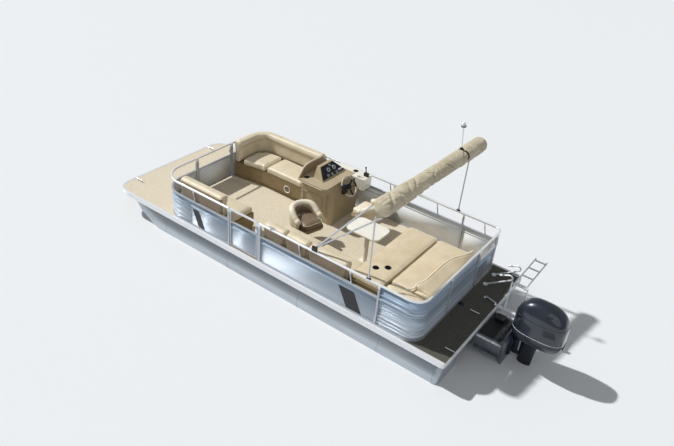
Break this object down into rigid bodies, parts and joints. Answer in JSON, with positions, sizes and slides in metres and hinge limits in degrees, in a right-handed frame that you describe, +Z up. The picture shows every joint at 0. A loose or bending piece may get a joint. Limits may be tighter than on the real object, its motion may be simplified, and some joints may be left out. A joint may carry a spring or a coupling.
{
  "type": "pontoon boat",
  "caption": "Pontoon boat with a fenced deck on round floats, lounges, a helm console, a sun deck, a stowed folding top and an outboard engine on a motor pod.",
  "frame": {"origin": "amidships of the deck on the centreline, at the water's surface", "axes": "+X forward to the bow, +Y to port, +Z up"},
  "size_m": [7.9427, 2.6, 3.5966],
  "materials": {
    "float_metal": "mill finish",
    "frame_metal": "anodised",
    "trim_metal": "polished extrusion",
    "fence_metal": "anodised rail, painted sheet",
    "chrome_fittings": "polished",
    "deck_vinyl": "textured vinyl",
    "deck_carpet": "marine carpet",
    "moulding": "moulded",
    "lounge_base": "moulded",
    "shelf": "gloss moulded",
    "table_top": "gloss moulded",
    "dash_panel": "satin",
    "black_plastic": "satin",
    "upholstery": "sewn marine vinyl",
    "canvas": "woven canvas",
    "engine_metal": "gloss paint",
    "engine_cover": "gloss paint"
  },
  "bodies": {
    "hull": {"tube_port": "float_metal", "tube_starboard": "float_metal", "underframe": "frame_metal", "motor_pod": "frame_metal", "deck": "deck_vinyl", "aft_deck": "deck_carpet", "edge_trim": "trim_metal", "fence_port_fwd": "fence_metal", "fence_port_aft": "fence_metal", "fence_starboard": "fence_metal", "fence_stern": "fence_metal", "console": "moulding", "helm_shelf": "shelf", "dash": "dash_panel", "helm_column": "black_plastic", "seat_pedestals": "frame_metal", "lounge_starboard_base": "lounge_base", "lounge_port_base": "lounge_base", "lounge_mid_base": "lounge_base", "lounge_starboard_seat": "upholstery", "lounge_port_seat": "upholstery", "lounge_mid_seat": "upholstery", "lounge_starboard_back": "upholstery", "lounge_port_back": "upholstery", "lounge_mid_back": "upholstery", "sundeck_base": "lounge_base", "sundeck_front_pad": "upholstery", "table": "table_top", "rail_mounts": "black_plastic", "ladder_bracket": "frame_metal", "deck_fittings": "chrome_fittings", "grab_handles": "chrome_fittings", "transom_clamp": "engine_metal"},
    "bow_gate": {"bow_gate": "fence_metal"},
    "side_gate": {"side_gate": "fence_metal"},
    "stern_gate": {"stern_gate": "fence_metal"},
    "helm_chair": {"helm_seat": "upholstery"},
    "companion_chair": {"companion_seat": "upholstery"},
    "sundeck_lid": {"sundeck_pad": "upholstery"},
    "console_door": {"console_door": "moulding"},
    "steering_wheel": {"steering_wheel": "black_plastic"},
    "bimini": {"bimini_boot": "canvas", "bimini_arms": "frame_metal", "anchor_light": "frame_metal"},
    "brace_port": {"brace_port": "frame_metal"},
    "brace_starboard": {"brace_starboard": "frame_metal"},
    "ladder": {"ladder": "frame_metal"},
    "engine_bracket": {"swivel_bracket": "engine_metal"},
    "engine": {"engine_leg": "engine_metal", "engine_cowl": "engine_cover"},
    "propeller": {"propeller": "engine_metal"}
  },
  "joints": [
    {"name": "bow_gate_swing", "type": "hinge", "parent": "hull", "child": "bow_gate", "pos_m": [2.136, 0.4555, 0.8], "axis": [0, 0, -1], "range_deg": [0, 95]},
    {"name": "side_gate_swing", "type": "hinge", "parent": "hull", "child": "side_gate", "pos_m": [0.5955, 1.216, 0.8], "axis": [0, 0, 1], "range_deg": [0, 90]},
    {"name": "stern_gate_swing", "type": "hinge", "parent": "hull", "child": "stern_gate", "pos_m": [-2.886, -1.0805, 0.8], "axis": [0, 0, -1], "range_deg": [0, 95]},
    {"name": "helm_chair_swivel", "type": "hinge", "parent": "hull", "child": "helm_chair", "pos_m": [-0.8, -0.64, 0.76], "axis": [0, 0, 1], "continuous": true},
    {"name": "companion_chair_swivel", "type": "hinge", "parent": "hull", "child": "companion_chair", "pos_m": [-0.2, 0.3, 0.76], "axis": [0, 0, 1], "continuous": true},
    {"name": "sundeck_lid_swing", "type": "hinge", "parent": "hull", "child": "sundeck_lid", "pos_m": [-2.231, 0.36, 1.08], "axis": [0, 1, 0], "range_deg": [0, 55]},
    {"name": "console_door_swing", "type": "hinge", "parent": "hull", "child": "console_door", "pos_m": [0.363, -0.312, 0.75], "axis": [0, 0, -1], "range_deg": [0, 100]},
    {"name": "wheel_turn", "type": "hinge", "parent": "hull", "child": "steering_wheel", "pos_m": [-0.355, -0.64, 1.17], "axis": [-0.8192, 0, 0.5736], "range_deg": [-720, 720]},
    {"name": "bimini_fold", "type": "hinge", "parent": "hull", "child": "bimini", "pos_m": [-1.1, 0, 1.235], "axis": [0, 1, 0], "range_deg": [0, 40]},
    {"name": "brace_port_fold", "type": "hinge", "parent": "hull", "child": "brace_port", "pos_m": [-2.05, 1.244, 1.2153], "axis": [0, -1, 0], "range_deg": [0, 85]},
    {"name": "brace_starboard_fold", "type": "hinge", "parent": "hull", "child": "brace_starboard", "pos_m": [-2.122, -1.244, 1.2153], "axis": [0, -1, 0], "range_deg": [0, 85]},
    {"name": "ladder_fold", "type": "hinge", "parent": "hull", "child": "ladder", "pos_m": [-3.615, -0.465, 0.87], "axis": [1, 0, 0], "range_deg": [0, 90]},
    {"name": "engine_tilt", "type": "hinge", "parent": "hull", "child": "engine_bracket", "pos_m": [-3.835, 0, 0.455], "axis": [0, 1, 0], "range_deg": [0, 60]},
    {"name": "engine_steer", "type": "hinge", "parent": "engine_bracket", "child": "engine", "pos_m": [-3.905, 0, 0.3], "axis": [0, 0, 1], "range_deg": [-30, 30]},
    {"name": "propeller_spin", "type": "hinge", "parent": "engine", "child": "propeller", "pos_m": [-4.3, 0, -0.42], "axis": [1, 0, 0], "continuous": true}
  ],
  "couplings": [
    {"joint": "wheel_turn", "follows": "engine_steer", "ratio": 24}
  ]
}
